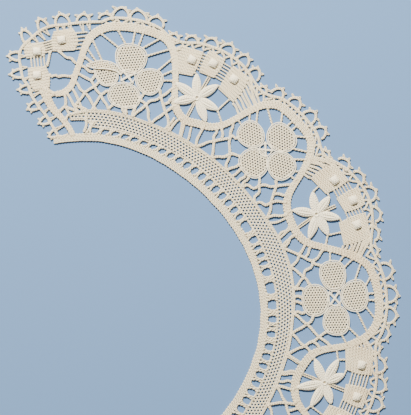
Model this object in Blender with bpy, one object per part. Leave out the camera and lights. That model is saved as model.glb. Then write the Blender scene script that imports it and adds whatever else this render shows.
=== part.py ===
"""A bobbin lace collar, lying flat.

The collar is worked in one piece, so it is one solid: a thin flat sheet with the collar's outline,
its looped edging and the largest gaps of its ground, and the small woven squares that stand up from it.
X runs across the collar, the centre back is towards -Y, the front opening towards +Y, and +Z is up.
The origin is the centre of its box, on the table.
"""

import math

import bmesh
import bpy
from mathutils import Matrix, Vector

MM = 0.001

# The cloth
SHEET_THICK = 1.2 * MM
TALLY_SIDE = 3.2 * MM
TALLY_TOP_SIDE = 2.0 * MM
TALLY_SHOULDER_Z = 1.8 * MM
TALLY_TOP_Z = 2.3 * MM
TALLY_FOOT_Z = 0.5 * MM

# The neck edge of one half, as runs from the centre back to the front corner: length and radius of each
NECK_RUNS = (
    # name, length, radius
    ("centre_back", 13.0 * MM, 85.0 * MM),
    ("back", 15.0 * MM, 64.0 * MM),
    ("shoulder", 35.0 * MM, 55.0 * MM),
    ("shoulder_front", 20.0 * MM, 72.0 * MM),
    ("chest", 31.0 * MM, 88.0 * MM),
    ("chest_front", 20.0 * MM, 75.0 * MM),
    ("turn", 15.0 * MM, 52.0 * MM),
    ("front", 10.6 * MM, 64.0 * MM),
)
NECK_HALF = sum(length for _, length, _ in NECK_RUNS)
NECK_STEP = 4.0 * MM

# The pattern: large scallops with a flower, small ones with a sprig of leaves between them
REPEAT = 46.1 * MM
FLOWERS = (0.0, REPEAT, 2 * REPEAT, 3 * REPEAT)
SPRIGS = (
    # distance from the centre back along the neck, how far the motif is lifted outwards
    (0.5 * REPEAT, -0.4 * MM),
    (1.5 * REPEAT, 2.0 * MM),
    (2.54 * REPEAT, -0.8 * MM),
)

# The edging's base line, out from the neck edge
FLOWER_EDGE = 49.8 * MM
DIP_EDGE = 48.4 * MM
SPRIG_EDGE = 51.4 * MM
DIP_FROM_FLOWER = 11.6 * MM
# How soon the base line rises to its full height: at 1 it does so only at the middle of the motif
FLOWER_RISE = 2.0
SPRIG_RISE = 1.6

# The loops along it: where each row of loops lies, either side of its motif
LOOP_HEIGHT = 5.0 * MM
LOOP_HALF_WIDTH = 2.9 * MM
FLOWER_LOOPS = (-6.8 * MM, -2.3 * MM, 2.3 * MM, 6.8 * MM)
SPRIG_LOOPS = (-7.4 * MM, -3.7 * MM, 0.0, 3.7 * MM, 7.4 * MM)
LOOP_SHOULDER = (0.56, 0.74)

# The rounded front end: an arc of the base line, then a straight run down to the neck corner
END_CENTRE = (155.2 * MM, 30.8 * MM)
END_RADIUS = 16.0 * MM
END_FROM_DEG = 80.0
END_TO_DEG = 222.0
END_CORNER = (159.2 * MM, 0.6 * MM)
END_ARC_LOOPS_DEG = (86.0, 108.0, 131.0, 160.0, 183.0, 206.0)
END_SIDE_LOOPS = (3.4 * MM, 11.4 * MM, 17.4 * MM)
END_SIDE_LOOP_HALF_WIDTH = 2.6 * MM
END_SIDE_LOOP_HEIGHT = 4.0 * MM

# The largest gaps, as rounded eight-sided holes, placed either side of a flower or a sprig
FLOWER_GAPS = (
    # name, along the neck, out from it, half width, half depth, lean in degrees
    ("arch", 4.7 * MM, 42.4 * MM, 3.3 * MM, 1.9 * MM, -18.0),
    ("shoulder", 8.8 * MM, 36.2 * MM, 3.3 * MM, 2.6 * MM, -50.0),
    ("underarm", 6.4 * MM, 24.8 * MM, 2.8 * MM, 2.8 * MM, 0.0),
    ("lattice_high", 11.9 * MM, 25.6 * MM, 3.2 * MM, 3.5 * MM, -10.0),
    ("lattice_low", 9.8 * MM, 17.4 * MM, 2.9 * MM, 2.5 * MM, 0.0),
)
SPRIG_GAPS = (
    ("over_leaf", 5.5 * MM, 36.6 * MM, 3.1 * MM, 2.6 * MM, 30.0),
    ("side_leaf", 4.4 * MM, 29.8 * MM, 2.0 * MM, 2.3 * MM, 0.0),
    ("under_leaf", 2.9 * MM, 24.2 * MM, 2.2 * MM, 1.9 * MM, 0.0),
    ("under_trail", 5.9 * MM, 17.9 * MM, 3.0 * MM, 2.6 * MM, 20.0),
)
SPRIG_MIDDLE_GAP = ("under_trail_middle", 0.0, 15.6 * MM, 2.5 * MM, 2.1 * MM, 0.0)
END_GAPS = (
    # name, distance along the neck from the centre back, out from it, half width, half depth, lean
    ("end_hollow_high", 156.6 * MM, 31.0 * MM, 3.0 * MM, 3.8 * MM, 0.0),
    ("end_hollow_low", 157.0 * MM, 22.8 * MM, 2.8 * MM, 2.6 * MM, 0.0),
    ("end_tape", 151.8 * MM, 5.8 * MM, 2.8 * MM, 2.4 * MM, 0.0),
)
# A gap's cut corner starts at this share of its half width and half depth
GAP_CORNER = 0.52

# The raised tallies, three to a sprig and three in the end
SPRIG_TALLIES = (
    # along the neck from the sprig, out from the neck edge
    (-6.4 * MM, 43.2 * MM),
    (0.0, 45.6 * MM),
    (6.4 * MM, 43.2 * MM),
)
END_TALLIES = (
    (155.4 * MM, 40.8 * MM),
    (163.0 * MM, 37.4 * MM),
    (164.8 * MM, 28.4 * MM),
)

IVORY = (0.78, 0.71, 0.58, 1.0)
LACE_ROUGHNESS = 0.85
SAME_POINT = 0.001 * MM


def clear_scene():
    for obj in list(bpy.data.objects):
        bpy.data.objects.remove(obj, do_unlink=True)


def neck_frame(along):
    """The point of the neck edge this far from the centre back, and the heading of the edge there."""
    point = Vector((0.0, 0.0))
    heading = 0.0
    left = along
    for _, length, radius in NECK_RUNS:
        step = min(left, length)
        turned = heading + step / radius
        point += radius * Vector((math.sin(turned) - math.sin(heading), math.cos(heading) - math.cos(turned)))
        heading = turned
        left -= step
    point += left * Vector((math.cos(heading), math.sin(heading)))
    return point, heading


def place(along, out):
    """The point this far along the neck edge and this far out from it."""
    point, heading = neck_frame(along)
    return point + out * Vector((math.sin(heading), -math.cos(heading)))


def smooth(share):
    share = min(max(share, 0.0), 1.0)
    return share * share * (3 - 2 * share)


def edge_out(along):
    """How far the edging's base line is from the neck edge."""
    flower = min(abs(along - centre) for centre in FLOWERS)
    sprig, lift = min((abs(along - centre), lift) for centre, lift in SPRIGS)
    if flower < DIP_FROM_FLOWER:
        return DIP_EDGE + (FLOWER_EDGE - DIP_EDGE) * smooth(FLOWER_RISE * (1 - flower / DIP_FROM_FLOWER))
    reach = REPEAT / 2 - DIP_FROM_FLOWER
    return DIP_EDGE + (SPRIG_EDGE + lift - DIP_EDGE) * smooth(SPRIG_RISE * (1 - sprig / reach))


def loop_points(at, half_width, height):
    """One loop's outline: its foot, a shoulder, its tip, a shoulder and its foot, as (along, out)."""
    wide, high = LOOP_SHOULDER
    return (
        (at - half_width, 0.0),
        (at - wide * half_width, high * height),
        (at, height),
        (at + wide * half_width, high * height),
        (at + half_width, 0.0),
    )


def scalloped_edge():
    """The outer edge of one half from the centre back to the front end's arc."""
    loops = [centre + offset for centre in FLOWERS for offset in FLOWER_LOOPS]
    loops += [centre + offset for centre, _ in SPRIGS for offset in SPRIG_LOOPS]
    dips = [centre + side * DIP_FROM_FLOWER for centre in FLOWERS for side in (-1, 1)]
    rows = [(along, True) for along in loops] + [(along, False) for along in dips]
    points = []
    for along, is_loop in sorted(row for row in rows if row[0] > 0):
        if not is_loop:
            points.append(place(along, edge_out(along)))
            continue
        stretch = (place(along + MM, edge_out(along)) - place(along, edge_out(along))).length / MM
        for near, out in loop_points(along, LOOP_HALF_WIDTH / stretch, LOOP_HEIGHT):
            points.append(place(near, edge_out(near) + out))
    return points


def end_arc(angle, out):
    """A point of the front end at this angle round its arc, out from the base line."""
    reach = END_RADIUS + out
    turn = math.radians(angle)
    # Angles run from straight out of the neck round past the front, so the arc's side is towards the front.
    return place(END_CENTRE[0] - reach * math.cos(turn), END_CENTRE[1] + reach * math.sin(turn))


def front_edge():
    """The outer edge from the arc's start round the front end and down to the neck corner."""
    points = []
    for angle in END_ARC_LOOPS_DEG:
        half = math.degrees(LOOP_HALF_WIDTH / END_RADIUS)
        points += [end_arc(angle + turn, out) for turn, out in loop_points(0.0, half, LOOP_HEIGHT)]
    start = end_arc(END_TO_DEG, 0.0)
    corner = place(*END_CORNER)
    side = (corner - start).normalized()
    outward = Vector((side.y, -side.x))
    for at in END_SIDE_LOOPS:
        loop = loop_points(at, END_SIDE_LOOP_HALF_WIDTH, END_SIDE_LOOP_HEIGHT)
        points += [start + near * side + out * outward for near, out in loop]
    return points


def neck_edge():
    """The neck edge of one half, from the front corner back to the centre back."""
    count = round(NECK_HALF / NECK_STEP)
    return [place(NECK_HALF * step / count, 0.0) for step in range(count, -1, -1)]


def gap_outline(along, out, half_width, half_depth, lean):
    """The eight corners of a gap centred here. Its width lies along the neck before it leans."""
    centre = place(along, out)
    turn = Matrix.Rotation(neck_frame(along)[1] + math.radians(lean), 2)
    near = GAP_CORNER
    corners = ((1, near), (near, 1), (-near, 1), (-1, near), (-1, -near), (-near, -1), (near, -1), (1, -near))
    return [centre + turn @ Vector((x * half_width, y * half_depth)) for x, y in corners]


def half_gaps():
    """The gaps of one half, as outlines."""
    rows = []
    for centre in FLOWERS:
        for _, along, out, half_width, half_depth, lean in FLOWER_GAPS:
            rows.append((centre + along, out, half_width, half_depth, -lean))
            if centre > 0:
                rows.append((centre - along, out, half_width, half_depth, lean))
    for centre, lift in SPRIGS:
        for _, along, out, half_width, half_depth, lean in SPRIG_GAPS:
            rows.append((centre + along, out + lift, half_width, half_depth, -lean))
            rows.append((centre - along, out + lift, half_width, half_depth, lean))
        rows.append((centre,) + SPRIG_MIDDLE_GAP[2:])
    rows += [row[1:] for row in END_GAPS]
    return [gap_outline(*row) for row in rows]


def mirrored(points):
    return [Vector((-point.x, point.y)) for point in reversed(points)]


def half_tallies():
    """Where one half's raised tallies stand, and how far each is turned."""
    rows = [(centre + along, out + lift) for centre, lift in SPRIGS for along, out in SPRIG_TALLIES]
    rows += END_TALLIES
    return [(place(*row), neck_frame(row[0])[1]) for row in rows]


def add_loop(curve, points, shift):
    spline = curve.splines.new("POLY")
    spline.points.add(len(points) - 1)
    for spot, point in zip(spline.points, points):
        spot.co = (point.x, point.y + shift, 0.0, 1.0)
    spline.use_cyclic_u = True


def sheet_mesh(outline, gaps, shift):
    """The flat sheet: the outline and the gaps as one filled curve, given its thickness."""
    curve = bpy.data.curves.new("sheet_outline", "CURVE")
    curve.dimensions = "2D"
    curve.fill_mode = "BOTH"
    curve.extrude = SHEET_THICK / 2
    for points in [outline] + gaps:
        add_loop(curve, points, shift)
    guide = bpy.data.objects.new("sheet_outline", curve)
    bpy.context.scene.collection.objects.link(guide)
    mesh = bpy.data.meshes.new_from_object(guide)
    bpy.data.objects.remove(guide, do_unlink=True)
    work = bmesh.new()
    work.from_mesh(mesh)
    bmesh.ops.remove_doubles(work, verts=work.verts, dist=SAME_POINT)
    bmesh.ops.translate(work, verts=work.verts, vec=(0.0, 0.0, SHEET_THICK / 2))
    bmesh.ops.recalc_face_normals(work, faces=work.faces)
    work.to_mesh(mesh)
    work.free()
    mesh.name = "lace_collar"
    return mesh


def tally_solids(spots, shift):
    """The raised tallies as plump squares, their feet inside the sheet."""
    work = bmesh.new()
    rings = (
        (TALLY_SIDE, TALLY_FOOT_Z),
        (TALLY_SIDE, TALLY_SHOULDER_Z),
        (TALLY_TOP_SIDE, TALLY_TOP_Z),
    )
    for centre, heading in spots:
        turn = Matrix.Rotation(heading, 2)
        levels = []
        for side, height in rings:
            corners = [turn @ Vector((x * side / 2, y * side / 2)) for x, y in ((-1, -1), (1, -1), (1, 1), (-1, 1))]
            levels.append([work.verts.new((centre.x + c.x, centre.y + shift + c.y, height)) for c in corners])
        work.faces.new(list(reversed(levels[0])))
        work.faces.new(levels[-1])
        for low, high in zip(levels, levels[1:]):
            for i in range(4):
                work.faces.new((low[i], low[(i + 1) % 4], high[(i + 1) % 4], high[i]))
    mesh = bpy.data.meshes.new("tallies")
    work.to_mesh(mesh)
    work.free()
    return mesh


def ivory_thread():
    material = bpy.data.materials.new("ivory_thread")
    material.use_nodes = True
    shader = material.node_tree.nodes["Principled BSDF"]
    shader.inputs["Base Color"].default_value = IVORY
    shader.inputs["Roughness"].default_value = LACE_ROUGHNESS
    shader.inputs["Metallic"].default_value = 0.0
    return material


def main():
    clear_scene()
    half = scalloped_edge() + front_edge()
    neck = neck_edge()
    outline = mirrored(half) + half + neck + mirrored(neck)[1:]
    lowest = min(point.y for point in outline)
    highest = max(point.y for point in outline)
    shift = -(lowest + highest) / 2
    gaps = half_gaps()
    gaps += [mirrored(points) for points in gaps]
    tallies = half_tallies()
    tallies += [(Vector((-point.x, point.y)), -heading) for point, heading in tallies]

    collar = bpy.data.objects.new("lace_collar", sheet_mesh(outline, gaps, shift))
    bpy.context.scene.collection.objects.link(collar)
    collar.data.materials.append(ivory_thread())

    raised = bpy.data.objects.new("tally_guide", tally_solids(tallies, shift))
    bpy.context.scene.collection.objects.link(raised)
    raised.hide_render = True
    raised.display_type = "WIRE"
    join = collar.modifiers.new("tallies", "BOOLEAN")
    join.operation = "UNION"
    join.object = raised
    print(f"neck edge at the centre back: y {shift * 1000:.2f} mm; {len(gaps)} gaps, {len(outline)} edge points")


main()
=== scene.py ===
# %% [markdown]
# # A bobbin lace collar, thread by thread
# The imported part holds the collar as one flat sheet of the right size. This notebook works the
# lace over it: every thread, plait and woven block is a real round strand, laid where a lace
# maker would pin it. We load the part first, because all that follows must fit inside its box.

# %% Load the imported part
import math

import bpy
import numpy as np
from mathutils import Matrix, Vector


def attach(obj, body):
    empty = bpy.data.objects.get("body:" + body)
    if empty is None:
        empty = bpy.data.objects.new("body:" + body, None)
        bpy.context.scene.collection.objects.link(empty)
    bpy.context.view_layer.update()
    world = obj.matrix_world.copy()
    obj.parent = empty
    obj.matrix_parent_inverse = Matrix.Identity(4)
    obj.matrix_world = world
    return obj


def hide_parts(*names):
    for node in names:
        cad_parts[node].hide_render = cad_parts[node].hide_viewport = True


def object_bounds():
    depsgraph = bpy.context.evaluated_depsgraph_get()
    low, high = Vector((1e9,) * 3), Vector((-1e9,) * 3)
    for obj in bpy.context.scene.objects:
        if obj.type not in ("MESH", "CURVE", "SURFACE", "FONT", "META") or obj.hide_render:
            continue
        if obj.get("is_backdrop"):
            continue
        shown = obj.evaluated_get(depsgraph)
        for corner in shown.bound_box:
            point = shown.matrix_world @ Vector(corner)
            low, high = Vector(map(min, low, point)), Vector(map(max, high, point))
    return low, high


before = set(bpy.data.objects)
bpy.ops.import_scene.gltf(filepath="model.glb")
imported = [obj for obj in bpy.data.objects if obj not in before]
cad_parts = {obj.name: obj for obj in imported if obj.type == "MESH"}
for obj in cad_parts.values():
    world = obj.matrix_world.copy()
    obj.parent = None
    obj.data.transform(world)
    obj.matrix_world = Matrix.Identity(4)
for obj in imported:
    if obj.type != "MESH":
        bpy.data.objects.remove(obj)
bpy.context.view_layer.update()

MM = 0.001
rng = np.random.default_rng(7)

# %% [markdown]
# ## Floor, light and camera
# The collar is a flat thing, so it is shown lying on a plain floor and seen from straight above.
# A long lens keeps the view nearly parallel. One firm light comes in low from one side, so each
# plait throws a short shadow, and a pale world fills the rest.

# %% A plain material and the floor
def plain_material(name, colour, roughness):
    material = bpy.data.materials.new(name)
    material.use_nodes = True
    shader = material.node_tree.nodes["Principled BSDF"]
    shader.inputs["Base Color"].default_value = (*colour, 1.0)
    shader.inputs["Roughness"].default_value = roughness
    return material


FLOOR_HALF = 2.0
floor_mesh = bpy.data.meshes.new("floor")
corners = [(x * FLOOR_HALF, y * FLOOR_HALF, 0) for x, y in ((-1, -1), (1, -1), (1, 1), (-1, 1))]
floor_mesh.from_pydata(corners, [], [(0, 1, 2, 3)])
floor = bpy.data.objects.new("floor", floor_mesh)
floor.data.materials.append(plain_material("floor_paint", (0.105, 0.20, 0.37), 0.9))
bpy.context.scene.collection.objects.link(floor)
floor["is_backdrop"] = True

# %% Lights and camera
VIEW_CENTRE = (60.2 * MM, 4.0 * MM)
VIEW_TURN = math.radians(-52.94)
VIEW_SPAN = 166.0 * MM
LENS = 130.0
SENSOR = 36.0


def area_light(name, place, size, power, colour):
    data = bpy.data.lights.new(name, "AREA")
    data.shape = "DISK"
    data.size = size
    data.energy = power
    data.color = colour
    light = bpy.data.objects.new(name, data)
    light.location = place
    aim = -np.array([place[0] - VIEW_CENTRE[0], place[1] - VIEW_CENTRE[1], place[2]])
    flat = math.hypot(aim[0], aim[1])
    light.rotation_euler = (math.atan2(flat, -aim[2]), 0, math.atan2(aim[1], aim[0]) - math.pi / 2)
    bpy.context.scene.collection.objects.link(light)


area_light("key_light", (0.50, 0.58, 0.70), size=0.07, power=44.0, colour=(1.0, 0.95, 0.86))
area_light("soft_light", (0.0, -0.2, 1.2), size=1.2, power=2.2, colour=(0.95, 0.97, 1.0))

world = bpy.data.worlds.new("studio")
world.use_nodes = True
world.node_tree.nodes["Background"].inputs["Color"].default_value = (0.93, 0.96, 1.0, 1.0)
world.node_tree.nodes["Background"].inputs["Strength"].default_value = 0.10
bpy.context.scene.world = world

camera_data = bpy.data.cameras.new("camera")
camera_data.lens = LENS
camera_data.sensor_width = SENSOR
camera = bpy.data.objects.new("camera", camera_data)
camera.location = (*VIEW_CENTRE, VIEW_SPAN * LENS / SENSOR)
camera.rotation_euler = (0, 0, VIEW_TURN)
bpy.context.scene.collection.objects.link(camera)
bpy.context.scene.camera = camera

# %% [markdown]
# ## The pricking
# Bobbin lace is worked over a pricked card. Ours is drawn on graph paper with 0.4 mm squares:
# `s` counts squares along the neck edge from the front corner to the centre back, and `d`
# counts squares out from that edge. The neck edge bends, so the card is bent with it: we walk
# along the edge in short steps, turning by step / radius, and look positions up in the table.

# %% The bent graph paper
SQUARE = 0.4
CENTRE_BACK = 399.0
NECK_BACK_Y = -51.12
NECK_RUNS = (
    (13.0, 85.0), (15.0, 64.0), (35.0, 55.0), (20.0, 72.0), (31.0, 88.0), (20.0, 75.0), (15.0, 52.0),
    (10.6, 64.0),
)  # (length, radius) of each stretch from the centre back, in mm
STEP = 0.25
PAST_BACK = 10.0
PAST_FRONT = 205.0

ends = np.cumsum([run for run, radius in NECK_RUNS])
walk = np.arange(-PAST_BACK, PAST_FRONT, STEP)
bend = np.zeros(len(walk))
for low, high, (run, radius) in zip(np.r_[-PAST_BACK - 1, ends[:-1]], ends, NECK_RUNS):
    bend[(walk >= low) & (walk < high)] = 1.0 / radius
heading = np.cumsum(bend) * STEP
heading -= np.interp(0.0, walk, heading)
neck_x = np.cumsum(np.cos(heading)) * STEP
neck_y = np.cumsum(np.sin(heading)) * STEP
neck_x -= np.interp(0.0, walk, neck_x)
neck_y += NECK_BACK_Y - np.interp(0.0, walk, neck_y)


def spot(s, d):
    """Millimetres on the table for squares s along and d out."""
    t = (CENTRE_BACK - np.asarray(s, float)) * SQUARE
    turn = np.interp(t, walk, heading)
    out = np.asarray(d, float) * SQUARE
    x = np.interp(t, walk, neck_x) + out * np.sin(turn)
    y = np.interp(t, walk, neck_y) - out * np.cos(turn)
    return np.stack([x, y], -1)


def spots(points):
    """Millimetres on the table for a list of (s, d)."""
    points = np.asarray(points, float)
    return spot(points[:, 0], points[:, 1])


def rigid(s, d, offsets):
    """Millimetres for a motif that keeps its shape: offsets in squares about its middle."""
    turn = np.interp((CENTRE_BACK - s) * SQUARE, walk, heading)
    offsets = np.asarray(offsets, float) * SQUARE
    along = np.array([-np.cos(turn), -np.sin(turn)])
    out = np.array([np.sin(turn), -np.cos(turn)])
    return spot(s, d) + offsets[:, :1] * along + offsets[:, 1:] * out


print("front corner at", spot(0, 0).round(1), "mm")

# %% [markdown]
# ## Strands
# A strand is a tube along a line of points. Each ring of the tube lies across the line, and its
# sides are level with the table, so the tube never twists. A bag collects many strands and turns
# them into one mesh of quads in one go, which is far quicker than one curve object per thread.
# The map written with it runs along (u, in mm) and round (v) each strand, for the thread shader.

# %% A bag of strands
CURVE_STEPS = 12
SIDES = 4


def unit(vectors):
    return vectors / np.maximum(np.linalg.norm(vectors, axis=-1, keepdims=True), 1e-9)


def smooth(points, step, closed=False):
    """The same line through the points, as a soft curve with evenly spaced points."""
    p = np.asarray(points, float)
    if len(p) == 2:
        dense = p
    else:
        before, after = (p[-1:], p[:2]) if closed else (2 * p[0] - p[1], 2 * p[-1] - p[-2])
        q = np.vstack([before, p, after])
        u = np.linspace(0, 1, CURVE_STEPS, endpoint=False)[:, None]
        parts = []
        for a, b, c, e in zip(q[:-3], q[1:-2], q[2:-1], q[3:]):
            square, cube = 2 * a - 5 * b + 4 * c - e, 3 * b - a - 3 * c + e
            parts.append(0.5 * (2 * b + (c - a) * u + square * u**2 + cube * u**3))
        dense = np.vstack(parts + [q[-2:-1]])
    run = np.r_[0, np.cumsum(np.linalg.norm(np.diff(dense, axis=0), axis=1))]
    count = max(2, int(round(run[-1] / step)) + 1)
    at = np.linspace(0, run[-1], count)
    even = np.stack([np.interp(at, run, dense[:, i]) for i in range(dense.shape[1])], -1)
    return even[:-1] if closed else even


def run_length(points):
    return np.r_[0, np.cumsum(np.linalg.norm(np.diff(points, axis=0), axis=1))]


class Bag:
    """Collects strands, in mm, and makes one mesh of them."""

    def __init__(self):
        self.points, self.quads, self.maps, self.count = [], [], [], 0

    def strand(self, points, radius, flat=0.8, closed=False):
        p = np.asarray(points, float)
        n, k = len(p), SIDES
        if closed:
            tangent = unit(np.roll(p, -1, 0) - np.roll(p, 1, 0))
        else:
            tangent = unit(np.gradient(p, axis=0))
        side = unit(np.cross(tangent, (0.0, 0.0, 1.0)) + (1e-6, 0.0, 0.0))
        up = np.cross(side, tangent)
        angle = (np.arange(k) + 0.5) / k * 2 * np.pi
        radius = np.broadcast_to(np.asarray(radius, float), (n,))[:, None, None]
        ring = side[:, None] * np.cos(angle)[:, None] + up[:, None] * (np.sin(angle) * flat)[:, None]
        self.points.append((p[:, None] + radius * ring).reshape(-1, 3))
        rows = np.arange(n if closed else n - 1)[:, None]
        cols = np.arange(k)[None]
        after = (rows + 1) % n
        beside = (cols + 1) % k
        quads = np.stack([rows * k + cols, rows * k + beside, after * k + beside, after * k + cols], -1)
        run = np.r_[run_length(p), 0.0]
        run[-1] = run[-2] + np.linalg.norm(p[-1] - p[0])
        u0, u1 = run[rows] + 0 * cols, run[rows + 1] + 0 * cols
        v0, v1 = cols / k + 0 * rows, (cols + 1) / k + 0 * rows
        corners = ((u0, v0), (u0, v1), (u1, v1), (u1, v0))
        maps = np.stack([np.stack(corner, -1) for corner in corners], 2)
        self.quads.append(quads.reshape(-1, 4) + self.count)
        self.maps.append(maps.reshape(-1, 2))
        if not closed:
            caps = np.array([[3, 2, 1, 0], [(n - 1) * k + i for i in range(k)]])
            self.quads.append(caps + self.count)
            self.maps.append(np.full((8, 2), run[-2]))
        self.count += n * k

    def make(self, name, material, mirrored=True):
        """The bag's strands as one piece; the other half of the collar is its mirror image."""
        points = np.vstack(self.points) * MM
        quads = np.vstack(self.quads)
        mesh = bpy.data.meshes.new(name)
        mesh.vertices.add(len(points))
        mesh.vertices.foreach_set("co", points.astype(np.float32).ravel())
        mesh.loops.add(quads.size)
        mesh.loops.foreach_set("vertex_index", quads.astype(np.int32).ravel())
        mesh.polygons.add(len(quads))
        mesh.polygons.foreach_set("loop_start", np.arange(0, quads.size, 4, dtype=np.int32))
        mesh.polygons.foreach_set("use_smooth", np.ones(len(quads), bool))
        layer = mesh.uv_layers.new(name="strand")
        layer.data.foreach_set("uv", np.vstack(self.maps).astype(np.float32).ravel())
        mesh.update(calc_edges=True)
        mesh.validate()
        piece = bpy.data.objects.new(name, mesh)
        bpy.context.scene.collection.objects.link(piece)
        mesh.materials.append(material)
        if mirrored:
            other_half = piece.modifiers.new("other_half", "MIRROR")
            other_half.use_axis[0] = True
            other_half.use_mirror_merge = False
        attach(piece, "root")
        print(name, len(quads) * 2 * (2 if mirrored else 1), "triangles")
        return piece

# %% [markdown]
# ## Stitches
# Four stitches make the whole collar. A plait is four threads braided into a cord; three strands
# that swing sideways once and up twice per turn read the same and cost less. A twisted pair is a
# two-strand rope. Cloth stitch is plain weaving: lengthwise passives crossed by one worker
# going to and fro. Half stitch is the open net of six-sided holes: threads in three directions,
# where each crosses over one neighbour and under the next.

# %% Cords
PLAIT_SWING, PLAIT_RISE, PLAIT_THREAD, PLAIT_TURN = 0.31, 0.14, 0.23, 2.2
TWIST_SWING, TWIST_RISE, TWIST_THREAD, TWIST_TURN = 0.17, 0.15, 0.185, 1.7
POINTS_PER_TURN = 5
UNEVEN = 0.12


def left_side(line):
    tangent = unit(np.gradient(line, axis=0))
    return np.stack([-tangent[:, 1], tangent[:, 0]], -1)


def cord_strands(bag, points, strands, swing, rise, radius, turn, lift):
    """Strands winding about one line; three of them rise twice a turn, as in a plait."""
    line = smooth(points, turn / POINTS_PER_TURN)
    side = left_side(line)
    run = run_length(line)
    phase = run / turn * 2 * np.pi + rng.uniform(0, 6)
    swing = swing * (1 + UNEVEN * np.sin(run * 1.1 + rng.uniform(0, 6)))
    for k in range(strands):
        angle = phase + 2 * np.pi * k / strands
        flat = line + side * (swing * np.sin(angle))[:, None]
        height = lift + rise * (np.sin(2 * angle) if strands == 3 else np.cos(angle))
        bag.strand(np.column_stack([flat, height]), radius)


def plait(bag, points, lift=0.5, size=1.3, bow=0.0):
    """A plaited cord; bow bends a two-point one a little, at random."""
    if bow and len(points) == 2:
        a, b = np.asarray(points, float)
        across = unit(np.array([a[1] - b[1], b[0] - a[0]]))
        near_a = a * 0.67 + b * 0.33 + across * rng.normal(0, bow)
        near_b = a * 0.33 + b * 0.67 + across * rng.normal(0, bow)
        points = [a, near_a, near_b, b]
    shape = (PLAIT_SWING * size, PLAIT_RISE * size, PLAIT_THREAD * size, PLAIT_TURN * size)
    cord_strands(bag, points, 3, *shape, lift)


def twist(bag, points, lift=0.42, size=1.0):
    """A twisted pair."""
    shape = (TWIST_SWING * size, TWIST_RISE * size, TWIST_THREAD * size, TWIST_TURN * size)
    cord_strands(bag, points, 2, *shape, lift)


# %% Cloth stitch
EDGE_STEP = 0.3
PASSIVES_APART = 0.6
PASSIVE_WAVER = 0.03
THREAD_RISE = 0.08


def cloth(bag, left, right, passives=None, pitch=0.6, radius=0.3, lift=0.45, swell=0.0):
    """Plain weaving between two edges; swell domes it in the middle."""
    left, right = smooth(left, EDGE_STEP), smooth(right, EDGE_STEP)
    middle = (run_length(left)[-1] + run_length(right)[-1]) / 2
    rows = max(3, int(round(middle / pitch)))

    if passives is None:
        some = [side[np.linspace(0, len(side) - 1, 7).astype(int)] for side in (left, right)]
        width = np.linalg.norm(some[0] - some[1], axis=1).mean()
        passives = max(4, int(round(width / PASSIVES_APART)))

    def edge(line, at):
        run = run_length(line) / run_length(line)[-1]
        return np.stack([np.interp(at, run, line[:, i]) for i in range(2)], -1)

    def lay(at, across):
        flat = edge(left, at) * (1 - across)[:, None] + edge(right, at) * across[:, None]
        dome = swell * np.sqrt(np.clip(np.sin(np.pi * at) * np.sin(np.pi * across), 0, 1))
        return flat, dome

    at = (np.arange(rows) + 0.5) / rows
    across = (np.arange(passives) + 0.5) / passives
    for i in range(passives):
        share = np.full(rows, across[i]) + rng.normal(0, PASSIVE_WAVER / passives, rows)
        flat, dome = lay(at, share)
        sign = 1 - 2 * ((i + np.arange(rows)) % 2)
        bag.strand(np.column_stack([flat, lift + dome + THREAD_RISE * sign]), radius)
    shares, places, signs = [], [], []
    for j in range(rows):
        order = np.arange(passives) if j % 2 == 0 else np.arange(passives)[::-1]
        row = across[order]
        first, last = (0.0, 1.0) if j % 2 == 0 else (1.0, 0.0)
        shares += [first, *row, last]
        slope = np.linspace(0.15, 0.85, passives + 2)
        places += list((j + slope) / rows)
        signs += [0, *[-(1 - 2 * ((i + j) % 2)) for i in order], 0]
    flat, dome = lay(np.array(places), np.array(shares))
    bag.strand(np.column_stack([flat, lift + dome + THREAD_RISE * np.array(signs)]), radius)


def ribbon(bag, line, width, passives, **more):
    """Cloth stitch along a middle line; width is one number or one for each point."""
    line = np.asarray(line, float)
    width = np.broadcast_to(np.asarray(width, float), (len(line),))
    path = smooth(np.column_stack([line, width]), 0.8)
    side = left_side(path[:, :2]) * path[:, 2:] / 2
    cloth(bag, path[:, :2] + side, path[:, :2] - side, passives, **more)


# %% Half stitch
SHORTEST_THREAD = 0.5
NET_WOBBLE = 0.035
NET_RISE = 0.11


def spans(outline, direction, across):
    """Where a straight line of this direction, at this distance, runs inside an outline."""
    along = outline @ direction
    away = outline @ np.array([-direction[1], direction[0]]) - across
    cuts = []
    for a0, a1, b0, b1 in zip(along, np.roll(along, -1), away, np.roll(away, -1)):
        if (b0 < 0) != (b1 < 0):
            cuts.append(a0 + (a1 - a0) * b0 / (b0 - b1))
    cuts.sort()
    return list(zip(cuts[::2], cuts[1::2]))


def half_stitch(bag, outline, angle, hole, radius, lift=0.42, bent=None):
    """Three families of threads clipped to an outline in mm; bent maps flat card to table."""
    outline = np.asarray(outline, float)
    side = hole / 2
    apart = math.sqrt(3) * side
    for family in range(3):
        turn = angle + family * math.pi / 3
        direction = np.array([math.cos(turn), math.sin(turn)])
        normal = np.array([-direction[1], direction[0]])
        reach = outline @ normal
        for k in range(int(reach.min() / apart) - 2, int(reach.max() / apart) + 2):
            for start, stop in spans(outline, direction, (k + 0.5) * apart):
                if stop - start < SHORTEST_THREAD:
                    continue
                first, last = math.ceil(start / side - 0.5), math.floor(stop / side - 0.5)
                knots = (np.arange(first, last + 1) + 0.5) * side
                run = np.r_[start, knots[(knots > start + 0.1) & (knots < stop - 0.1)], stop]
                flat = run[:, None] * direction + normal * (k + 0.5) * apart
                wobble = rng.normal(0, NET_WOBBLE, flat.shape)
                wobble[[0, -1]] = 0
                flat = flat + wobble
                height = lift + NET_RISE * np.cos(math.pi * (run / side - k + 0.5))
                height[[0, -1]] = lift
                if bent is not None:
                    flat = bent(flat)
                bag.strand(np.column_stack([flat, height]), radius)


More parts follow.
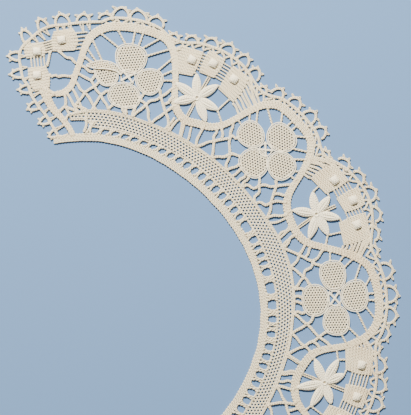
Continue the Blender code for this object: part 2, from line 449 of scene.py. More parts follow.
# %% [markdown]
# ## Thread materials
# The lace is old undyed linen and cotton: warm ivory, a little tan where it has toned with age.
# Two shared node groups do this. One draws the twist of the thread and its fuzz as a height, and
# paints shade where that height is low, in the grooves of the twist; the other spreads soft stains
# over the collar. The raised, close-packed parts get a lighter copy of the colour: a painted highlight.

# %% Shared node groups
def new_group(name, sockets):
    group = bpy.data.node_groups.new(name, "ShaderNodeTree")
    for socket, direction, kind in sockets:
        group.interface.new_socket(name=socket, in_out=direction, socket_type=kind)
    return group, group.nodes.new("NodeGroupInput"), group.nodes.new("NodeGroupOutput")


def math_node(group, operation, a, b=None):
    node = group.nodes.new("ShaderNodeMath")
    node.operation = operation
    for socket, value in zip(node.inputs, (a, b)):
        if isinstance(value, (int, float)):
            socket.default_value = value
        elif value is not None:
            group.links.new(value, socket)
    return node.outputs[0]


# The twist group gives a height for the bump and a painted shade: darker where that height is low, in
# the grooves of the twist.
twist_group, given, result = new_group(
    "ThreadTwist",
    [
        ("Turns per mm", "INPUT", "NodeSocketFloat"),
        ("Height", "OUTPUT", "NodeSocketFloat"),
        ("Painted shade", "OUTPUT", "NodeSocketFloat"),
    ],
)
strand_map = twist_group.nodes.new("ShaderNodeUVMap")
strand_map.uv_map = "strand"
split = twist_group.nodes.new("ShaderNodeSeparateXYZ")
twist_group.links.new(strand_map.outputs["UV"], split.inputs["Vector"])
turned = math_node(twist_group, "MULTIPLY", split.outputs["X"], given.outputs["Turns per mm"])
turned = math_node(twist_group, "ADD", turned, split.outputs["Y"])
wave = math_node(twist_group, "SINE", math_node(twist_group, "MULTIPLY", turned, 4 * math.pi))
fuzz_place = twist_group.nodes.new("ShaderNodeTexCoord")
fuzz = twist_group.nodes.new("ShaderNodeTexNoise")
fuzz.inputs["Scale"].default_value = 9000.0
fuzz.inputs["Detail"].default_value = 2.0
twist_group.links.new(fuzz_place.outputs["Object"], fuzz.inputs["Vector"])
half_wave = math_node(twist_group, "MULTIPLY", wave, 0.5)
height = math_node(twist_group, "ADD", half_wave, fuzz.outputs["Fac"])
twist_group.links.new(height, result.inputs["Height"])
# Painted shade: the colour follows the twist and fuzz height, darker in the grooves.
wave_painted_shade = math_node(twist_group, "MULTIPLY", wave, 0.12)
fuzz_painted_shade = math_node(twist_group, "MULTIPLY", fuzz.outputs["Fac"], 0.5)
painted_shade = math_node(twist_group, "ADD", wave_painted_shade, fuzz_painted_shade)
twist_group.links.new(painted_shade, result.inputs["Painted shade"])

stain_group, given, result = new_group(
    "AgeStain", [("Size", "INPUT", "NodeSocketFloat"), ("Stain", "OUTPUT", "NodeSocketFloat")]
)
place = stain_group.nodes.new("ShaderNodeTexCoord")
patch = stain_group.nodes.new("ShaderNodeTexNoise")
patch.inputs["Detail"].default_value = 4.0
stain_group.links.new(place.outputs["Object"], patch.inputs["Vector"])
stain_group.links.new(given.outputs["Size"], patch.inputs["Scale"])
ramp = stain_group.nodes.new("ShaderNodeMapRange")
ramp.inputs["From Min"].default_value = 0.48
ramp.inputs["From Max"].default_value = 0.72
stain_group.links.new(patch.outputs["Fac"], ramp.inputs["Value"])
stain_group.links.new(ramp.outputs["Result"], result.inputs["Stain"])


# %% Thread materials
def thread_material(name, bright, groove_shade, stain, turns, stain_amount, bump):
    """Thread with painted shade in its twist grooves, toned in patches by stains; turns is the twist
    for each mm.
    """
    material = plain_material(name, bright, 0.82)
    tree = material.node_tree
    shader = tree.nodes["Principled BSDF"]
    shader.inputs["Sheen Weight"].default_value = 0.25
    shader.inputs["Sheen Roughness"].default_value = 0.5
    shader.inputs["Subsurface Weight"].default_value = 0.08
    shader.inputs["Subsurface Radius"].default_value = (0.0008, 0.0006, 0.0004)
    thread = tree.nodes.new("ShaderNodeGroup")
    thread.node_tree = twist_group
    thread.inputs["Turns per mm"].default_value = turns
    ageing = tree.nodes.new("ShaderNodeGroup")
    ageing.node_tree = stain_group
    ageing.inputs["Size"].default_value = 70.0
    # Mix from the groove colour to the bright one by the painted shade, so the thread is darkened in
    # its twist grooves.
    body = tree.nodes.new("ShaderNodeMix")
    body.data_type = "RGBA"
    body.inputs["A"].default_value = (*groove_shade, 1.0)
    body.inputs["B"].default_value = (*bright, 1.0)
    tree.links.new(thread.outputs["Painted shade"], body.inputs["Factor"])
    toned = tree.nodes.new("ShaderNodeMix")
    toned.data_type = "RGBA"
    toned.inputs["B"].default_value = (*stain, 1.0)
    tree.links.new(body.outputs["Result"], toned.inputs["A"])
    stained = math_node(tree, "MULTIPLY", ageing.outputs["Stain"], stain_amount)
    tree.links.new(stained, toned.inputs["Factor"])
    tree.links.new(toned.outputs["Result"], shader.inputs["Base Color"])
    dent = tree.nodes.new("ShaderNodeBump")
    dent.inputs["Strength"].default_value = bump
    dent.inputs["Distance"].default_value = 0.00006
    tree.links.new(thread.outputs["Height"], dent.inputs["Height"])
    tree.links.new(dent.outputs["Normal"], shader.inputs["Normal"])
    return material


work_thread = thread_material(
    "work_thread", (0.86, 0.78, 0.58), (0.68, 0.58, 0.38), (0.62, 0.46, 0.26),
    turns=1.1, stain_amount=0.45, bump=0.6,
)
net_thread = thread_material(
    "net_thread", (0.86, 0.79, 0.60), (0.68, 0.59, 0.40), (0.64, 0.50, 0.30),
    turns=1.1, stain_amount=0.2, bump=0.6,
)
# A lighter copy of the thread colours for the raised and close-packed parts: a painted highlight.
painted_highlight_thread = thread_material(
    "painted_highlight_thread", (0.94, 0.88, 0.71), (0.82, 0.74, 0.55), (0.76, 0.65, 0.44),
    turns=0.9, stain_amount=0.2, bump=0.5,
)
print("materials:", [m.name for m in bpy.data.materials])

# %% [markdown]
# ## The neck band
# The inner edge is the footside: a firm cloth-stitch tape that is sewn to the dress, then a ladder
# of holes crossed by twisted pairs, then a broad band of half stitch. We make the tape first, as
# a cloth-stitch ribbon along the edge; its far side and near side are lines of the pricking.

# %% Tape
neck_band = Bag()
TAPE_OUT = 8.0
PAST_SEAM = 0.8
tape_s = np.linspace(-6.0, CENTRE_BACK + PAST_SEAM, 61)
neck_side = spot(tape_s, rng.normal(0.3, 0.2, len(tape_s)))
ladder_side = spot(tape_s, rng.normal(TAPE_OUT - 0.4, 0.4, len(tape_s)))
cloth(neck_band, neck_side, ladder_side, 5, pitch=0.62)

# %% Ladder and half-stitch band
BAND_EDGE = np.array([
    (12, 28), (26, 31), (43, 32), (75, 31), (100, 32), (150, 33.5), (200, 33.5), (227, 36), (255, 37),
    (285, 35), (300, 33), (345, 32), (399, 34),
])
BAND_FOOT = np.array([(12, 22), (27, 21.5), (31, 15), (43, 13.5), (83, 13), (110, 15), (135, 17)])


def band_top(s):
    return np.interp(s, BAND_EDGE[:, 0], BAND_EDGE[:, 1])


def band_foot(s):
    return np.interp(s, BAND_FOOT[:, 0], BAND_FOOT[:, 1])


BAND_START = 12.0
rails = np.linspace(BAND_START, CENTRE_BACK + PAST_SEAM, 105)
for rail in (band_foot(rails), band_top(rails) - 0.4, band_top(rails) - 1.9):
    twist(neck_band, spot(rails, rail), lift=0.5, size=1.15)

NET_IN = 0.8
flat_foot = [(s * SQUARE, (band_foot(s) + NET_IN) * SQUARE) for s in rails]
flat_top = [(s * SQUARE, (band_top(s) - NET_IN) * SQUARE) for s in rails[::-1]]
flat_net = flat_foot + flat_top
half_stitch(neck_band, flat_net, 0.0, hole=1.27, radius=0.24, bent=lambda flat: spots(flat / SQUARE))

ladder = Bag()
LADDER = (
    28, 37.5, 47, 56.5, 66, 75.5, 85, 94.5, 104, 113, 122, 131, 140, 149, 158, 167, 176, 185, 193.5,
    201.5, 215.5, 218, 227.5, 234.5, 242.5, 250, 260.5, 263, 277, 279.5, 291.5, 294, 303.5, 308,
    317, 319.5, 329, 338.5, 347, 356, 365, 374, 383.5, 393,
)
for s in LADDER:
    lean = 4.0 * np.interp(s, (60, 200), (1, 0))
    foot, top = TAPE_OUT - 0.8, band_foot(s) + 1.0
    for spread in (-1.0, 1.0):
        pair = [
            (s + 2.3 * spread, foot), (s + 0.75 * spread + lean * 0.3, foot * 0.7 + top * 0.3),
            (s + 0.75 * spread + lean * 0.7, foot * 0.3 + top * 0.7), (s + 2.3 * spread + lean, top),
        ]
        twist(ladder, spots(pair), lift=0.5, size=1.6)
neck_band_piece = neck_band.make("neck_band", net_thread)
ladder_piece = ladder.make("ladder_bars", net_thread)

# %% [markdown]
# ## The trail
# A cloth-stitch ribbon wanders along the collar: high over each flower, low under each sprig. It
# is the path that the lace maker follows, and everything else hangs on it. One row of points in
# the pricking gives its middle line; it narrows a little where it climbs.

# %% Trail
TRAIL = [
    (2, 49, 5.5), (9, 50, 6), (15, 56, 6), (18.5, 67, 6), (22, 80, 6), (25.5, 95, 7), (30, 107, 8.5),
    (39, 115.5, 8.5), (53.6, 118, 8.5), (67.6, 116.5, 8.5), (75.6, 108, 7.5), (80, 97, 6.5),
    (84, 84.5, 6), (87, 74, 6), (90, 64, 7), (95, 54.5, 8), (104.5, 49, 8), (115, 52.5, 8),
    (125, 57, 7.5), (132, 66, 6.5), (135.5, 75, 6), (138.5, 85, 6), (142, 97, 7), (146.4, 108, 8),
    (154.4, 116.5, 8.5), (168.4, 118, 8.5), (182.4, 116.5, 8.5), (190.4, 108, 8), (195, 97, 7),
    (199, 84.5, 6), (202, 74, 6.5), (206, 64, 7.5), (214, 56.5, 8), (227, 53.5, 8), (237, 55.5, 8),
    (244, 61.5, 7), (249, 72, 6.5), (254, 85, 6.5), (260, 100, 7.5), (268, 113, 8), (283, 118.5, 8.5),
    (297, 117.5, 8.5), (306, 108, 8), (311, 95, 7), (314, 85, 6.5), (316, 75, 6.5), (318.5, 65, 7),
    (322.5, 56.5, 8), (330.5, 50.5, 8.5), (341, 47.5, 8.5), (351.5, 50, 8), (359, 57, 7.5),
    (363, 66, 6.5), (366, 75, 6), (369, 85, 6.5), (373, 98, 7), (379, 110, 8), (388, 116.5, 8.5),
    (399.8, 118, 8.5),
]
trail_chart = np.array(TRAIL, float)
trail = Bag()
trail_line = spots(trail_chart[:, :2])
ribbon(trail, trail_line, trail_chart[:, 2] * SQUARE * 0.94, 5, lift=0.5)
front_line = spots([(14, 5), (10, 15), (4, 26), (-1, 34), (-5, 44), (-8, 56)])
ribbon(trail, front_line, [2.0, 2.0, 2.2, 2.8, 3.2, 3.6], 5, lift=0.5)
trail_piece = trail.make("trail", work_thread)

trail_dense = smooth(trail_line, 0.5)
anchors = [trail_dense, smooth(front_line[2:], 0.5)]


def nearest(point, cloud):
    """The point of a cloud nearest to this one, and how far it is."""
    away = np.linalg.norm(cloud - point, axis=1)
    return cloud[away.argmin()], away.min()

# %% [markdown]
# ## Flowers
# Each flower has four petals of half stitch, edged by a pair of cords laid side by side. A petal
# is an egg with its blunt end out. The four are set round a plaited cross, which leaves
# four small holes at the heart of the flower. The first flower's petal nearest the front end is
# folded over, so it carries a flap of its own net.

# %% Petal helper
def egg(width, length, size=1.0):
    """An egg's outline in squares, with its blunt end towards +y."""
    angle = np.linspace(0, 2 * np.pi, 40, endpoint=False)
    blunt = 1 + 0.13 * np.sin(angle)
    x = width / 2 * np.sign(np.cos(angle)) * np.abs(np.cos(angle)) ** 0.88 * blunt * size
    y = length / 2 * np.sign(np.sin(angle)) * np.abs(np.sin(angle)) ** 0.92 * size
    return np.column_stack([x, y])


def turned_by(points, angle):
    c, s = math.cos(angle), math.sin(angle)
    return points @ np.array([[c, s], [-s, c]])


NET_SHARE = 0.93
SECOND_CORD_SHARE = 0.89


def petal(nets, edges, s, d, offset, width, length, way, lift):
    """A petal whose middle is offset (squares) from the flower's; way points it outwards."""
    turn = math.radians(way - 90)
    whole = turned_by(egg(width, length), turn) + offset
    inner = turned_by(egg(width, length, NET_SHARE), turn) + offset
    second = turned_by(egg(width, length, SECOND_CORD_SHARE), turn) + offset
    tilt = math.radians(rng.uniform(24, 36))
    half_stitch(nets, spots(inner + (s, d)), tilt - s / 200, hole=1.14, radius=0.25, lift=0.45 + lift)
    anchors.append(smooth(spots(inner + (s, d)), 0.5, closed=True))
    for line, radius, up in ((whole, 0.25, 0.62), (second, 0.21, 0.6)):
        path = smooth(spots(line + (s, d)), 0.45, closed=True)
        edges.strand(np.column_stack([path, np.full(len(path), up + lift)]), radius, closed=True)


def oval(wide, high, count):
    """Points round an oval, in squares from its middle."""
    turns = np.linspace(0, 2 * math.pi, count + 1)[:-1]
    return np.array([(wide * math.cos(a), high * math.sin(a)) for a in turns])


# %% Flowers
petal_nets, petal_edges, hearts = Bag(), Bag(), Bag()
middle_nets, middle_edges, middle_heart = Bag(), Bag(), Bag()
# Each petal is (along, out, width, length, the way it points).
FIRST_PETALS = (
    (-0.6, 18.0, 18.5, 30, 92), (-14.2, -0.5, 23, 15, 195), (14.6, 1.5, 26, 18.5, -4),
    (0.2, -18.6, 23.5, 25, 275),
)
SECOND_PETALS = (
    (1.6, 19.3, 21.5, 27, 90), (-15.4, 1.0, 25, 20.5, 180), (16.2, 1.5, 27, 21, 0),
    (1.2, -16.6, 23.5, 28, 270),
)
THIRD_PETALS = (
    (-0.6, 20.0, 18.5, 27, 92), (-14.6, 1.4, 25.5, 19.5, 178), (14.2, 1.4, 26, 19, 0),
    (0.4, -18.8, 22.5, 27, 270),
)
BACK_PETALS = (
    (0, 19.6, 20, 27, 90), (-15.2, 1.4, 25.5, 20, 180), (15.2, 1.4, 25.5, 20, 0),
    (0, -18.0, 23.5, 27.5, 270),
)
FLOWERS = (
    (53.6, 68.5, petal_nets, petal_edges, hearts, FIRST_PETALS),
    (168.4, 75.0, petal_nets, petal_edges, hearts, SECOND_PETALS),
    (283.7, 74.5, petal_nets, petal_edges, hearts, THIRD_PETALS),
    (CENTRE_BACK, 75.0, middle_nets, middle_edges, middle_heart, BACK_PETALS),
)
for s, d, nets, edges, heart, petals in FLOWERS:
    for x, y, width, length, way in petals:
        petal(nets, edges, s, d, (x, y), width, length, way, lift=rng.uniform(0, 0.12))
    for cross in (((-4.4, -5.0), (0.0, 0.4), (4.4, 5.6)), ((-4.4, 5.6), (0.1, 0.2), (4.4, -5.0))):
        plait(heart, spots(np.array(cross) + (s, d)), lift=0.7, size=0.95)
    path = smooth(spots(oval(4.6, 6.6, 12) + (s, d + 0.3)), 0.4, closed=True)
    heart.strand(np.column_stack([path, np.full(len(path), 0.7)]), 0.24, closed=True)

# %% The folded petal's flap
flap = np.array([
    (-27.5, 7.0), (-23.5, 10.0), (-18.0, 12.5), (-10.5, 11.0), (-6.0, 6.0), (-4.6, 0.5), (-8.0, 3.5),
    (-14.0, 4.6), (-22.0, 4.4),
])
flap_chart = flap + FLOWERS[0][:2]
half_stitch(petal_nets, spots(flap_chart), 0.3, hole=1.0, radius=0.24, lift=0.95)
flap_path = smooth(spots(flap_chart), 0.45, closed=True)
petal_edges.strand(np.column_stack([flap_path, np.full(len(flap_path), 1.05)]), 0.27, closed=True)
petal_net_piece = petal_nets.make("petal_nets", net_thread)
petal_edge_piece = petal_edges.make("petal_outlines", painted_highlight_thread)
hearts_piece = hearts.make("flower_hearts", painted_highlight_thread)
middle_net_piece = middle_nets.make("middle_petal_nets", net_thread, mirrored=False)
middle_edge_piece = middle_edges.make("middle_petal_outlines", painted_highlight_thread, mirrored=False)
middle_heart_piece = middle_heart.make("middle_flower_heart", painted_highlight_thread, mirrored=False)

# %% [markdown]
# ## Sprigs
# Between two flowers stands a sprig of six leaves. Each leaf is a tally: three or four threads
# held apart while one weaver packs tightly over and under them, so it comes out plump and
# pointed. We weave it like cloth with pointed ends, then lay ribs along it.

# %% Leaves
leaves, sprig_cords = Bag(), Bag()
leaf_tips = []


LEAF_WIDTH = 7.6


def leaf(base, tip):
    """A pointed tally from base to tip, with four ribs along it."""
    base, tip = np.asarray(base, float), np.asarray(tip, float)
    axis = tip - base
    side = np.array([-axis[1], axis[0]]) / np.linalg.norm(axis)
    bow = rng.uniform(-0.6, 0.6)
    u = np.linspace(0, 1, 13)
    half = SQUARE * LEAF_WIDTH / 2 * np.clip(np.sin(np.pi * u**0.93), 0, 1) ** 0.72 + 0.14
    middle = base + u[:, None] * axis + (side * (bow * SQUARE * np.sin(np.pi * u))[:, None])
    edges = middle + side * half[:, None], middle - side * half[:, None]
    cloth(leaves, *edges, 4, pitch=0.5, radius=0.31, lift=0.6, swell=0.35)
    for share, crown in ((-0.98, 0.0), (-0.34, 0.4), (0.34, 0.4), (0.98, 0.0)):
        line = middle + side * (share * half)[:, None]
        height = 0.66 + crown * np.sin(np.pi * u) ** 0.6
        leaves.strand(np.column_stack([line, height]), 0.14 + 0.13 * np.sin(np.pi * u), flat=0.9)


def to_trail(point, way, reach=7.5):
    """The nearest trail point ahead of a leaf's tip, if one is close."""
    gap = trail_dense - point
    away = np.linalg.norm(gap, axis=1)
    ahead = gap @ way > 0.25 * away
    if not (ahead & (away < reach)).any():
        return None
    return trail_dense[np.where(ahead, away, 1e9).argmin()]


# Each sprig is (s, d, the tips of its leaves, the ends of its two twisted pairs).
SPRIGS = (
    (104.5, 74.0,
     ((17.5, 1), (15, -15.6), (8, 21.5), (-18.5, 4), (-13.5, -14.5), (-8, 21)),
     ((0.3, 24), (0.4, -22))),
    (227.2, 79.8,
     ((-6.5, 19.6), (9, 19.6), (-14.6, 7.2), (16.2, 2.5), (-10.5, -18.8), (13.8, -16.5)),
     ((0.6, 21), (3.0, -24.5))),
    (339.5, 75.5,
     ((-9, 16.5), (11.5, 13.5), (-17, 7.3), (18.4, -4), (-13.7, -15.5), (10.1, -24.5)),
     ((0.5, 24), (-1.0, -24))),
)
KNOT = 2.2
for s, d, tips, pairs in SPRIGS:
    middle = spot(s, d)
    for tip_offset in tips:
        tip = spot(s + tip_offset[0], d + tip_offset[1])
        away = unit(tip - middle)
        leaf(middle + away * 0.35, tip)
        leaf_tips.append(tip)
        joint = to_trail(tip, away)
        if joint is not None:
            twist(sprig_cords, [tip - away * 0.3, joint], lift=0.5, size=1.5)
    for end in pairs:
        for shift in (-0.9, 0.9):
            halfway = (s + shift * 0.8 + end[0] / 2, d + end[1] / 2)
            far = (s + shift * 0.8 + end[0], d + end[1])
            twist(sprig_cords, spots([(s + shift * 0.3, d), halfway, far]), lift=0.45)
    knot = smooth(rigid(s, d, oval(KNOT, KNOT, 8)), 0.3, closed=True)
    leaves.strand(np.column_stack([knot, np.full(len(knot), 1.05)]), 0.24, closed=True)
leaves_piece = leaves.make("leaves", painted_highlight_thread)
sprig_cords_piece = sprig_cords.make("sprig_cords", work_thread)

# %% [markdown]
# ## Fans and raised squares
# Over each sprig three blocks of cloth stitch spread out like a fan, held to each other by a
# short column of bars. On each block sits a raised square: a tally woven like a leaf but left
# square and standing up from the cloth.

# %% Fans
fans, bars, squares = Bag(), Bag(), Bag()
block_edges = []


def block(s, d, left, right):
    """A block of cloth stitch between two side lines, given about its middle."""
    sides = [spots([(s + x, d + y) for x, y in side]) for side in (left, right)]
    cloth(fans, *sides, lift=0.5)
    block_edges.extend(smooth(side, 0.5) for side in sides)
    block_edges.append(smooth([sides[0][0], sides[1][0]], 0.5))


TALLY_SIDE = 7.6


def raised_square(s, d, turn):
    """A square tally that stands up from the cloth, its sides a little bowed."""
    shares = np.array([(-1, -1), (-1.08, 0), (-1, 1), (1, 1), (1.08, 0), (1, -1)])
    corners = turned_by(shares * (TALLY_SIDE / 2), math.radians(turn))
    left, right = rigid(s, d, corners[:3]), rigid(s, d, corners[:2:-1])
    cloth(squares, left, right, 6, pitch=0.4, radius=0.29, lift=0.75, swell=1.0)


def column_of_bars(s, low, high, count, width):
    for d in np.linspace(low, high, count):
        twist(bars, spots([(s - width / 2, d), (s + width / 2, d)]), lift=0.5, size=1.1)


LOW_BLOCK = (((-9, -19), (-9.6, -3), (-8, 10)), ((5, -15), (5.4, 0), (4.6, 12)))
MID_BLOCK = (((-5.0, -14), (-6, 0), (-5.5, 10)), ((5.0, -13), (6, 0), (5.5, 10)))
HIGH_BLOCK = (((-5, -16), (-5.4, 0), (-4.6, 12)), ((9, -20), (9.6, -3), (8, 10)))
FANS = (
    ((89.5, 105.5), (102.5, 112), (119, 109)),
    ((213, 112), (229, 119), (243.5, 113)),
    ((322.5, 106.5), (341, 110.5), (357, 104)),
)
for low, mid, high in FANS:
    for (s, d), (left, right) in zip((low, mid, high), (LOW_BLOCK, MID_BLOCK, HIGH_BLOCK)):
        block(s, d, left, right)
        raised_square(s + 0.3, d, turn=rng.uniform(-8, 8))
    for a, b in ((low, mid), (mid, high)):
        s, d = (a[0] + b[0]) / 2, (a[1] + b[1]) / 2
        column_of_bars(s, d - 9, d + 7, 6, width=max(2.5, abs(b[0] - a[0]) - 10.0))
    for (s, d), edge in ((low, LOW_BLOCK[0]), (high, HIGH_BLOCK[1])):
        outer = smooth(spots([(s + x, d + y) for x, y in edge]), 1.75)
        for start in outer:
            end, gap = nearest(start, trail_dense)
            if gap > 1.2:
                plait(bars, [start, end], lift=0.5, size=1.15, bow=0.2)

for tip in leaf_tips:
    end, gap = nearest(tip, np.vstack(block_edges))
    if 0.8 < gap < 6.5:
        twist(bars, [tip, end], lift=0.5, size=1.4)

# %% End blocks
END_BLOCKS = (
    (((5, 92), (4.5, 102), (7, 112)), ((18, 90), (21, 101), (18, 113)), (10.8, 102)),
    (((-20, 89), (-21, 96), (-18, 103)), ((-2, 88), (0, 95), (-2, 103)), (-8.5, 94)),
    (((-17, 55), (-21, 66), (-20, 79)), ((-2, 56), (0, 66), (-2, 79)), (-12, 70.5)),
)
for left, right, square in END_BLOCKS:
    block(0, 0, left, right)
    raised_square(*square, turn=rng.uniform(-8, 8))
for s in np.linspace(-16, -3, 5):
    twist(bars, spots([(s, 78), (s + 0.6, 89.5)]), lift=0.5, size=1.2)
for d in (92.5, 95, 97.5, 100, 102.5):
    twist(bars, spots([(-2, d - 1), (6, d + 0.5)]), lift=0.5, size=1.2)
for d in (92, 96, 100, 104, 108):
    twist(bars, spots([(18, d), (25 + (d - 92) * 0.1, d + 1)]), lift=0.5, size=1.2)
fans_piece = fans.make("fans", work_thread)
bars_piece = bars.make("fan_bars", work_thread)
squares_piece = squares.make("raised_squares", painted_highlight_thread)

# %% [markdown]
# ## Plaited ground
# Plaits tie flower, sprig, trail and band together, and leave the large gaps. Round each
# flower they follow one plan: a crossing beside the lower petal, two more nearer the
# band, and joints along the band's edge. We draw the plan once and use it on both sides.

# %% Ground plan
ground = Bag()
A, B, C = (26.3, 60.0), (34.5, 47.3), (17.8, 47.3)
J1, J2, J3 = (43.8, 0.0), (27.0, 0.0), (10.0, 0.0)
PLAN = (
    ((30.5, 72.5), A), ((22.0, 66.8), A), (A, B), (A, C), ((39.5, 57.0), B), (B, J1), (B, J2), (C, J2),
    (C, J3), (C, (12.2, 53.0)), ((7.0, 46.0), J3), ((2.6, 44.0), (1.8, 0.0)), ((47.5, 48.5), J1),
    ((35.5, 64.0), (30.6, 54.0)),
)
RAYS = (
    ((-5.7, 105.6), (-11.4, 111.5)), ((-1.6, 107.4), (-1.1, 114.9)), ((2.4, 107.0), (3.0, 114.9)),
    ((6.1, 105.0), (13.3, 113.2)), ((-9.8, 97.0), (-18.7, 104.0)), ((-17.7, 87.0), (-21.5, 99.5)),
    ((-22.7, 85.0), (-27.0, 93.5)), ((11.6, 96.0), (20.6, 106.0)), ((18.0, 89.0), (22.5, 99.5)),
    ((24.5, 83.0), (29.3, 90.0)), ((-26.6, 77.0), (-31.6, 80.0)), ((27.4, 77.0), (31.8, 80.0)),
)
NODES = (A, B, C, J1, J2, J3, (30.6, 54.0))
anchor_cloud = np.vstack(anchors + [spot(rails, band_top(rails) - 0.5)])


def caught(point, reach=4.5):
    """A loose end is caught on the nearest petal, trail or band edge."""
    near, gap = nearest(point, anchor_cloud)
    return near if gap < reach else point


def planned(flower, point, sign):
    s = flower + sign * point[0]
    return (s, point[1] if point[1] else band_top(s) - 0.5)


for (flower, *_), sides in zip(FLOWERS, ((1,), (-1, 1), (-1, 1), (-1,))):
    nudge = {}
    for sign in sides:
        for a, b in PLAN:
            ends_here = []
            for point in (a, b):
                key = (sign, point)
                if key not in nudge:
                    nudge[key] = rng.normal(0, 0.45, 2) * (1, point[1] > 0)
                s, d = planned(flower, point, sign)
                place_here = spot(s + nudge[key][0], d + nudge[key][1])
                ends_here.append(place_here if point in NODES else caught(place_here))
            plait(ground, ends_here, lift=0.5 + rng.uniform(0, 0.12), bow=0.4)
    for (x0, d0), (x1, d1) in RAYS:
        if flower == CENTRE_BACK and (x0 > 0 or x1 > 0):
            continue
        on_trail = nearest(spot(flower + x1, d1), trail_dense)[0]
        twist(ground, [caught(spot(flower + x0, d0)), on_trail], lift=0.5, size=1.5)

# %% Ground under the sprigs
for s, trough in ((104.5, 46.0), (227.2, 51.0), (339.5, 44.5)):
    for x0, x1 in ((-8, -11), (-1.2, 3.0), (1.0, 4.6), (7.5, 11)):
        foot = (s + x1, band_top(s + x1) - 0.5)
        plait(ground, spots([(s + x0, trough), foot]), lift=0.5, size=1.1, bow=0.3)

# %% Ground at the front end
END_PLAITS = (
    ((22, 68), (29.5, 60.5)), ((31.5, 67), (29.5, 60.5)), ((29.5, 60.5), (36.8, 47)),
    ((20.5, 58.5), (25, 48.5)), ((25, 48.5), (36, 62)), ((25, 48.5), (34, 35)), ((36.8, 47), (44, 33)),
    ((36.8, 47), (31, 33)), ((17.5, 52), (23, 44)), ((25, 48.5), (17, 36)), ((12.5, 47), (19, 36)),
    ((17, 36), (26, 27)), ((11, 45), (9, 36)), ((9, 36), (17.5, 34)), ((9, 36), (3.5, 33)),
    ((9, 36), (13, 27)), ((13, 27), (26, 25)), ((45, 50.5), (36.8, 47)), ((44, 33), (49, 45)),
    ((0, 70), (6, 66)), ((6, 66), (18.5, 66)), ((2, 50), (-1, 60)), ((-1, 78), (3, 92)),
    ((17.5, 88), (22.5, 84)), ((8, 92), (13, 84)), ((13, 84), (20.5, 78)), ((17.5, 72), (22, 72)),
    ((-7, 50), (2, 49)), ((55, 46), (57, 31)), ((60, 46), (66, 32)), ((67, 56), (73, 46)),
    ((4, 26), (7, 21)), ((7, 21), (13, 19)), ((-6, 56), (-1, 49)), ((26.6, 24), (24, 9)),
    ((24, 74), (31, 69)), ((23.5, 86), (31, 80)),
)
tied = [point for pair in END_PLAITS for point in pair]
for pair in END_PLAITS:
    ends_here = [spot(*point) if tied.count(point) > 1 else caught(spot(*point), 6.0) for point in pair]
    plait(ground, ends_here, lift=0.5 + rng.uniform(0, 0.12), size=1.25, bow=0.3)
ground_piece = ground.make("plaited_ground", work_thread)

# %% [markdown]
# ## Edging
# The outer edge is a plait, the header, fixed to the trail and the fans by short zigzag legs.
# Loops of plait stand out from it, and on each loop the maker leaves three picots: small
# single-thread loops twisted round a pin.

# %% Header and legs
HEADER = [
    (34, 119.5), (40, 124.5), (53.6, 126), (64, 124), (70, 119.5), (77, 117.5), (83, 119.5),
    (89, 123.5), (97, 126), (105, 127.5), (114, 127), (123, 124), (131, 119), (139, 116), (146, 118.5),
    (153, 124), (168.4, 126), (183, 124.5), (191, 119.5), (198, 117.5), (204, 122), (211, 128),
    (220, 132), (229, 134), (238, 132.5), (246, 128), (253, 122), (259, 119.5), (268, 123.5),
    (277, 126), (290, 126.5), (302, 123), (309, 118), (315, 118), (322, 121.5), (331, 125),
    (341, 126.5), (351, 125), (360, 120.5), (367, 117.5), (374, 119.5), (381, 123.5), (390, 126),
    (399, 126),
]
edging = Bag()
header_chart = smooth(np.array(HEADER, float), 0.5)
plait(edging, spots(header_chart[::4]), lift=0.55)
INNER = np.array([
    (34, 115), (53.6, 122), (72, 115), (84, 115), (89, 119), (97, 121), (105, 123.5), (122, 118.5),
    (133, 106), (146, 112), (154, 120.5), (168.4, 122), (183, 120.5), (192, 111), (203, 108),
    (210, 123), (229, 130), (243, 123), (255, 102), (266, 116), (275, 121), (290, 122), (300, 119),
    (310, 106), (318, 117), (341, 121.5), (358, 114), (369, 97), (379, 116), (389, 120.5), (399, 122),
])
for count, s in enumerate(np.arange(37.0, 398.0, 3.1)):
    top = np.interp(s, header_chart[:, 0], header_chart[:, 1])
    low = max(np.interp(s, INNER[:, 0], INNER[:, 1]), top - 7)
    lean = 1.6 if count % 2 else -1.6
    plait(edging, spots([(s - lean, low - 0.8), (s + lean, top)]), lift=0.5, size=0.95, bow=0.15)

# %% Loops with picots
PICOT_TURNS = (-0.9, 0.0, 0.9)


def loop(foot, tip, width):
    """A plaited loop from a foot on the header to its tip, both as points in squares."""
    foot, tip = np.asarray(foot, float), np.asarray(tip, float)
    out = tip - foot
    height = np.linalg.norm(out)
    out = out / height
    side = np.array([out[1], -out[0]])
    shape = [
        (-0.44, 0.0), (-0.43, 0.35), (-0.27, 0.76), (0.0, 1.0), (0.27, 0.76), (0.43, 0.35), (0.44, 0.0),
    ]
    bent_plait = [foot + side * x * width + out * y * height for x, y in shape]
    plait(edging, spots(bent_plait), lift=0.55, size=1.2)
    for turn in PICOT_TURNS:
        turn = turn + rng.normal(0, 0.12)
        way = out * math.cos(turn) + side * math.sin(turn)
        across = np.array([way[1], -way[0]])
        up = out * height * (0.98 - 0.3 * abs(math.sin(turn)))
        root = foot + up + side * math.sin(turn) * width * 0.4
        reach = rng.uniform(2.4, 3.4)
        hairpin = [(-0.45, 0), (-0.62, 0.45), (0, 1.0), (0.62, 0.45), (0.45, 0)]
        path = smooth(spots([root + across * x + way * y * reach for x, y in hairpin]), 0.28)
        edging.strand(np.column_stack([path, np.full(len(path), 0.5)]), 0.23)


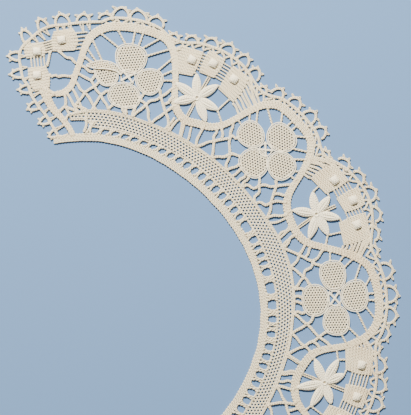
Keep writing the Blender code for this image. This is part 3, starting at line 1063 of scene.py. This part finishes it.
LOOPS = (
    (36, 129, 8), (43.4, 136.5, 9), (52.7, 137.2, 9.5), (61.8, 134, 9), (74, 123.5, 7),
    (85.2, 128.8, 9), (96.3, 134.3, 9.5), (106.3, 137, 9.5), (117.6, 136.5, 9), (128.3, 131.5, 9),
    (138.8, 121.5, 6.5), (148, 130, 9), (160, 134.7, 9.5), (172.3, 137.0, 9.5), (184, 134, 9),
    (197, 122.5, 7), (207.7, 133.6, 9), (219, 139.5, 9.5), (230, 143.5, 9.5), (241.3, 139, 9.5),
    (251, 131.5, 8.5), (260, 124.5, 6.5), (271.5, 135.5, 9.5), (283.5, 138, 9.5), (294.5, 136, 9.5),
    (304, 129.5, 8.5), (312.5, 122.5, 6.5), (321, 130.5, 9), (331, 135.5, 9.5), (342, 137.5, 9.5),
    (353, 134.5, 9.5), (362.5, 128, 8.5), (371, 123, 6.5), (381.5, 133.5, 9.5), (393, 137.5, 9.5),
)
for s, d, width in LOOPS:
    foot_d = np.interp(s, header_chart[:, 0], header_chart[:, 1])
    loop((s, foot_d + 0.6), (s + rng.normal(0, 0.4), d + rng.normal(0, 0.4)), width)

# %% Edging of the front end
END_HEADER = [
    (34, 119.5), (28, 119), (20, 118), (13, 117), (6, 117), (0, 115), (-6, 112), (-13, 107.5),
    (-20, 103), (-25, 97), (-27, 89), (-27, 80), (-26.5, 70), (-22.5, 61), (-20.5, 51), (-15, 39),
    (-9, 28.5), (-4, 16), (1, 4),
]
end_header = smooth(np.array(END_HEADER, float), 0.5)
plait(edging, spots(end_header[::4]), lift=0.55)
END_LOOPS = (
    ((24, 119), (24.5, 127), 8), ((12.5, 117.5), (11.5, 128), 9), ((0.5, 115.5), (-1, 126), 8.5),
    ((-15, 106.5), (-19.5, 117.5), 11), ((-27, 92), (-37, 94.5), 9.5), ((-27, 75), (-37.5, 75.5), 9.5),
    ((-22, 58.5), (-32, 59), 9), ((-16.5, 41.5), (-26, 39), 9), ((-8, 25.5), (-17, 23), 8.5),
    ((-2, 11), (-9.5, 8), 8),
)
for foot, tip, width in END_LOOPS:
    loop(foot, tip, width)
INSIDE = (
    (9, 111), (17, 112), (24.5, 108), (28, 111), (1, 104), (-6, 103), (-14, 103), (-19, 98), (-20, 91),
    (-20.5, 80), (-20.5, 70), (-19, 60), (-10, 54), (-8, 46), (-4, 37), (2, 28), (8, 18), (9, 8),
    (-2, 49), (-18, 56), (4, 108), (13, 112),
)
for point in INSIDE:
    gap = end_header - point
    foot = end_header[np.linalg.norm(gap, axis=1).argmin()]
    for shift in (-1.6, 1.6):
        twist(edging, spots([point, foot + np.array([shift * 0.5, shift])]), lift=0.5, size=1.15)
edging_piece = edging.make("looped_edging", work_thread)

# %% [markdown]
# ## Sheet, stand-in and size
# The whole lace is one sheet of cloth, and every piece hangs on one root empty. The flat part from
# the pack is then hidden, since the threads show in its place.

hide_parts("lace_collar")

# %% Print the size
low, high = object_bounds()
print("visual box", [round(v * 1000, 1) for v in low], [round(v * 1000, 1) for v in high])
